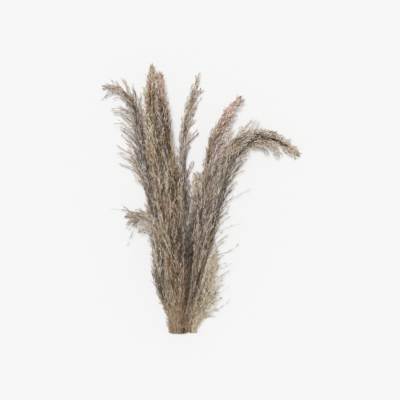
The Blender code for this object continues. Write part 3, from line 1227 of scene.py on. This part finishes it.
@dataclass
class Tie:
    """The raffia that ties the bundle: flat turns side by side, and the knot on top."""

    turns: tuple[float, ...] = (-2.3 * MM, 0.1 * MM, 2.2 * MM)
    half_width: float = 1.45 * MM
    half_thickness: float = 0.5 * MM
    stops: int = 96
    sides: int = 10
    wander: float = 0.35 * MM
    knot_half: tuple[float, float] = (5.6 * MM, 2.3 * MM)
    knot_turns: tuple[tuple[float, float], ...] = ((-1.5 * MM, 14.0), (1.5 * MM, -14.0))

    def build(self, node: Object, raffia: Material) -> None:
        """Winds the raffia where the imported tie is.

        Args:
            node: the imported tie.
            raffia: its finish.
        """
        corners = corners_of(node)
        band = skin_of(node)
        middle = (corners.min(axis=0) + corners.max(axis=0)) / 2
        middle[0] = corners[:, 0].mean()
        level = middle[1]
        bearings = angles_round(self.stops)
        across, along, up = np.eye(3)
        cosine, sine = np.cos(bearings)[:, None], np.sin(bearings)[:, None]
        ways = cosine * across + sine * up
        inner = np.array([band.ray_cast(middle, way)[3] for way in ways])
        whole = bmesh.new()
        for number, offset in enumerate(self.turns):
            path = middle + ways * (inner + self.half_thickness * 1.4)[:, None]
            path[:, 1] += offset + self.wander * np.sin(bearings * 3 + number * 2.1)
            self.wind(whole, path, ways, along)
        top = corners[corners[:, 2].argmax()]
        centre = np.array((top[0], level, top[2] - self.knot_half[1] - self.half_thickness))
        for offset, lean in self.knot_turns:
            along = np.array((math.sin(math.radians(lean)), math.cos(math.radians(lean)), 0.0))
            across = np.array((along[1], -along[0], 0.0))
            path = (centre + across * offset + cosine * along * self.knot_half[0]
                    + sine * up * self.knot_half[1])
            self.wind(whole, path, cosine * along + sine * up, across)
        placed(drawn(whole, node.name + "_piece"), node.name, "raffia", raffia)

    def wind(self, whole: BMesh, path: Array, outward: Array, side: Array) -> None:
        """Adds one closed turn of raffia.

        Args:
            whole: the shape that the turn is added to.
            path: the turn's middle line.
            outward: the way out of the turn at each place.
            side: the way across it.
        """
        cosine = np.cos(angles_round(self.sides))
        wide = np.sign(cosine) * np.abs(cosine) ** 0.6 * self.half_width
        thick = np.sin(angles_round(self.sides)) * self.half_thickness
        rings = (path[:, None, :] + wide[None, :, None] * side
                 + thick[None, :, None] * outward[:, None, :])
        turn = drawn(rolled(rings, True), "turn")
        whole.from_mesh(turn)
        bpy.data.meshes.remove(turn)


@dataclass
class Studio:
    """The table, the light and the camera, which looks straight down."""

    view_width: float = 1.04
    lens: float = 85.0
    table_size: float = 30.0
    table_colour: Colour = (0.42, 0.42, 0.42)
    # The table's glow is painted light that lifts the shadows under the bundle.
    table_painted_glow: float = 0.335
    table_roughness: float = 0.9
    world_strength: float = 0.34
    key_strength: float = 3.35
    key_spread: float = 14.0
    key_from: tuple[float, float, float] = (-0.05, 0.12, 1.0)
    aim_height: float = 0.04

    def build(self) -> None:
        """Sets up the table, the light and the camera."""
        scene = bpy.context.scene
        scene.view_settings.view_transform = "Standard"
        self.table()
        world = bpy.data.worlds.new("studio")
        world.use_nodes = True
        Look.fix(world.node_tree.nodes["Background"], Color=(*WHITE, 1.0), Strength=self.world_strength)
        scene.world = world
        light = bpy.data.lights.new("key", "SUN")
        light.energy = self.key_strength
        light.angle = math.radians(self.key_spread)
        lamp = bpy.data.objects.new("key", light)
        lamp.rotation_euler = Vector(self.key_from).to_track_quat("Z", "Y").to_euler()
        scene.collection.objects.link(lamp)
        view = bpy.data.cameras.new("camera")
        view.lens = self.lens
        camera = bpy.data.objects.new("camera", view)
        distance = self.view_width * view.lens / view.sensor_width
        camera.location = (0.0, 0.0, self.aim_height + distance)
        scene.collection.objects.link(camera)
        scene.camera = camera

    def table(self) -> None:
        """Lays the pale table under the bundle. It glows a little, painted light that lifts the shadows
        on it and lights the bundle from below.
        """
        shape = bmesh.new()
        bmesh.ops.create_grid(shape, x_segments=1, y_segments=1, size=self.table_size / 2)
        look = Look("table_paper")
        look.fix(look.surface, Base_Color=(*self.table_colour, 1.0), Roughness=self.table_roughness,
                 Specular_IOR_Level=0.1, Emission_Color=(*WHITE, 1.0), Emission_Strength=self.table_painted_glow)
        table = bpy.data.objects.new("table", drawn(shape, "table"))
        table.data.materials.append(look.material)
        bpy.context.scene.collection.objects.link(table)
        table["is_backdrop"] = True


# The bundle's plumes from left to right. Each starts with its name, finish, hue shares, branches,
# seed and brightness.
PLUMES = (
    Plume(
        "left_arching", FluffFinish("left_fluff", (MAUVE, TAUPE, OLIVE), tip_tint=(0.84, 0.81, 0.78)),
        (0.64, 0.32, 0.04), 195, 11, 0.59,
        fringes=(
            Fringe(180, 0.5, 0.64, 16, (40, 65), (3, 20), 0.7),
            Fringe(180, 0.6, 0.86, 36, (28, 54), (16, 50), 0.55),
            Fringe(180, 0.86, 0.98, 12, (20, 35), (6, 20), 0.3),
            Fringe(0, 0.72, 0.93, 24, (24, 44), (8, 28), 0.4),
        ),
        strays=(
            Stray(0.93, 182, 34, 16, 0.3), Stray(0.965, 176, 26, 26, 0.3),
            Stray(0.97, 184, 34, 36, 0.15), Stray(0.9, 185, 36, 22, 0.3),
        ),
        clefts=(Cleft(180, 0.48, 0.62, 55, 0.35),),
        fullness=0.8, lean=0.06, tip_fullness=0.14, taper_from=0.7, fringe=0.009, past_tip=0.016,
        nose=0.06,
    ),
    Plume(
        "low_left_bent", FluffFinish("low_left_fluff", (MAUVE, TAUPE, OLIVE), tip_tint=(0.8, 0.77, 0.75)),
        (0.55, 0.35, 0.1), 165, 12, 0.62,
        fringes=(
            Fringe(180, 0.7, 0.94, 26, (25, 48), (10, 30), 0.7),
            Fringe(0, 0.76, 0.96, 16, (16, 36), (2, 12), 0.5),
        ),
        strays=(
            Stray(0.93, 10, 40, 36, 0.15), Stray(0.94, 12, 74, 32, 0.15), Stray(0.9, 180, 58, 74, 0.15),
            Stray(0.91, 172, 36, 34, 0.2), Stray(0.92, 4, 50, 22, 0.2),
        ),
        clefts=(Cleft(0, 0.74, 1.05, 80, 0.2),),
        fullness=0.88, lean=0.16, spikes=26, tip_fullness=0.9, past_tip=0.01, nose=0.07,
    ),
    Plume(
        "tall_left", FluffFinish("tall_left_fluff", (GOLDEN, TAUPE, RUST), tip_tint=(0.95, 0.94, 1.0)),
        (0.46, 0.34, 0.2), 225, 13, 0.585,
        fringes=(
            Fringe(180, 0.62, 0.97, 40, (14, 30), (4, 12), 0.25),
            Fringe(0, 0.86, 0.97, 12, (14, 28), (3, 10), 0.3),
        ),
        clefts=(Cleft(20, 0.62, 0.94, 55, 0.1, 0.45),),
        lean=0.12, tip_fullness=0.5, branchlet_length=(0.007, 0.018),
    ),
    Plume(
        "tall_right", FluffFinish("tall_right_fluff", (TAUPE, GOLDEN, RUST), tip_tint=(0.96, 0.91, 0.94)),
        (0.5, 0.22, 0.28), 220, 14, 0.47,
        fringes=(
            Fringe(0, 0.52, 0.98, 34, (14, 30), (2, 9), 0.25),
            Fringe(180, 0.84, 0.98, 14, (20, 35), (4, 12), 0.6),
            Fringe(180, 0.58, 0.86, 14, (30, 50), (3, 10), 0.8),
        ),
        clefts=(
            Cleft(0, 0.04, 0.42, 75, 0.5, 0.36), Cleft(150, 0.5, 0.9, 55, 0.0, 0.32),
            Cleft(0, 0.66, 0.97, 80, 0.35),
        ),
        fullness=0.92, lean=-0.26, tip_fullness=0.52, branchlet_length=(0.007, 0.018),
    ),
    Plume(
        "thin_middle",
        # Its dark root tint is painted shade: the low part lies deep between its neighbours.
        FluffFinish("thin_fluff", (MAUVE, TAUPE, PINK), (0.3, 0.255, 0.21), (1.03, 1.01, 0.99),
                    root_until=0.33),
        (0.45, 0.3, 0.25), 84, 15, 0.45,
        fringes=(
            Fringe(0, 0.66, 0.92, 26, (30, 55), (6, 22), 0.5),
            Fringe(180, 0.5, 0.92, 18, (25, 45), (3, 10), 0.5),
            Fringe(180, 0.26, 0.52, 14, (30, 50), (1, 8), 0.9, 30.0),
            Fringe(0, 0.3, 0.58, 16, (30, 50), (2, 10), 0.9, 30.0),
        ),
        strays=(
            Stray(0.59, 5, 50, 14, 1.0), Stray(0.6, 355, 45, 20, 1.0), Stray(0.595, 0, 40, 12, 1.0),
            Stray(0.72, 8, 45, 32, 1.0), Stray(0.73, 352, 50, 28, 1.0), Stray(0.725, 0, 40, 30, 1.0),
        ),
        fullness=0.7, lean=0.2, taper_from=0.35, tip_fullness=0.45, branchlets=16, spikes=12,
        past_tip=0.018,
    ),
    Plume(
        "short_middle",
        # Its dark root tint is painted shade: the low part lies deep between its neighbours.
        FluffFinish("short_fluff", (MAUVE, TAUPE, RUST), (0.24, 0.195, 0.16), root_until=0.52),
        (0.6, 0.34, 0.06), 100, 16, 0.48,
        fringes=(
            Fringe(90, 0.74, 0.96, 16, (30, 50), (3, 12), 0.8, 60.0),
            Fringe(180, 0.8, 0.97, 16, (30, 50), (10, 26), 0.8, 20.0),
        ),
        clefts=(Cleft(0, 0.7, 1.2, 80, 0.5),),
        fullness=0.72, tip_fullness=1.0, past_tip=0.018, nose=0.03, spikes=6,
    ),
    Plume(
        "rosy_right",
        FluffFinish("rosy_fluff", (PINK, TAUPE, RUST), (0.5, 0.455, 0.37), (1.14, 1.04, 1.0)),
        (0.54, 0.42, 0.04), 215, 17, 0.5,
        fringes=(
            Fringe(0, 0.66, 0.99, 44, (16, 38), (5, 18), 0.3),
            Fringe(180, 0.74, 0.98, 18, (16, 32), (2, 9), 0.3),
            Fringe(10, 0.38, 0.66, 16, (30, 50), (2, 10), 0.8, 30.0),
        ),
        clefts=(Cleft(180, 0.06, 0.4, 85, 0.6, 0.36), Cleft(180, 0.4, 0.8, 85, 0.45, 0.25)),
        tip_fullness=0.36, taper_from=0.74, fullness=0.86, lean=0.38, branchlet_length=(0.007, 0.018),
    ),
    Plume(
        "right_drooping", FluffFinish("right_fluff", (TAUPE, MAUVE, RUST), tip_tint=(0.99, 0.96, 0.93)),
        (0.62, 0.33, 0.05), 162, 28, 0.565,
        fringes=(
            Fringe(0, 0.73, 0.85, 22, (60, 95), (14, 38), 0.7, 14.0),
            Fringe(0, 0.8, 0.99, 18, (16, 36), (2, 16), 0.4),
            Fringe(180, 0.66, 0.99, 36, (14, 34), (0, 14), 0.4),
            Fringe(180, 0.7, 0.79, 12, (28, 46), (14, 36), 0.3),
            Fringe(150, 0.42, 0.74, 26, (40, 60), (3, 12), 0.9, 30.0),
            Fringe(120, 0.66, 0.9, 30, (30, 50), (0, 6), 0.9, 26.0),
            Fringe(0, 0.14, 0.44, 13, (30, 60), (6, 34), 0.15),
            Fringe(0, 0.16, 0.4, 6, (24, 50), (30, 66), 0.08),
            Fringe(0, 0.52, 0.76, 18, (20, 44), (3, 14), 0.3),
        ),
        strays=(Stray(0.25, 5, 90, 66, 0.2), Stray(0.52, 0, 55, 50, 0.1)),
        clefts=(Cleft(165, 0.74, 1.1, 100, 0.3), Cleft(0, 0.16, 0.5, 80, 0.45)),
        fullness=0.82, lean=-0.06, tip_fullness=0.44, taper_from=0.78, fringe=0.012, stray_shade=0.06,
        spikes=40, nose=0.07,
    ),
    Plume(
        "low_right_short",
        FluffFinish("low_right_fluff", (OLIVE, TAUPE, GOLDEN), (0.86, 0.8, 0.7), (0.9, 0.88, 0.84)),
        (0.6, 0.3, 0.1), 110, 19, 0.48,
        fringes=(
            Fringe(0, 0.01, 0.1, 18, (40, 60), (10, 22), 0.7, 30.0),
            Fringe(0, 0.04, 0.42, 40, (45, 80), (10, 34), 0.5, 35.0),
            Fringe(0, 0.4, 0.8, 18, (40, 70), (1, 10), 0.6, 30.0),
            Fringe(0, 0.1, 0.85, 16, (26, 56), (10, 46), 0.15),
            Fringe(180, 0.45, 0.9, 10, (30, 50), (4, 12), 0.7, 40.0),
        ),
        strays=(Stray(0.2, 0, 85, 60, 0.25), Stray(0.42, 4, 70, 50, 0.2)),
        clefts=(Cleft(0, -0.2, 0.16, 80, 0.3), Cleft(0, 0.58, 1.5, 80, 0.4)),
        fullness=0.62, tip_fullness=0.8, taper_from=0.5, stray_shade=-0.06, branch_length=(0.05, 0.12),
        fringe=0.012, past_tip=0.03, nose=0.03,
    ),
)


def corner_rows(box: tuple) -> list[list[float]]:
    """Gives a box's two corners as plain lists of numbers."""
    return [[float(value) for value in corner] for corner in box]


def main() -> None:
    """Builds the bundle and its studio, piece by piece."""
    logging.basicConfig(level=logging.INFO, format="%(name)s: %(message)s")
    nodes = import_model()["nodes"]
    packed_box = corner_rows(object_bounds())
    Studio().build()
    tie = nodes["raffia_tie"]
    straw = FibreFinish("straw", (0.14, 0.095, 0.055), (0.40, 0.31, 0.20), (700.0, 25.0, 700.0))
    raffia = FibreFinish("raffia_fibre", (0.13, 0.09, 0.06), (0.29, 0.22, 0.15), (40.0, 2200.0, 40.0))
    skin, pith = straw.material(), PithFinish().material()
    for plume in PLUMES:
        course = Course(nodes[plume.name + "_stem"], nodes[plume.name + "_plume"], tie)
        plume.build(course, packed_box[0][1])
        Stem(plume.name).build(course, skin, pith)
    Tie().build(tie, raffia.material())


if __name__ == "__main__":
    main()
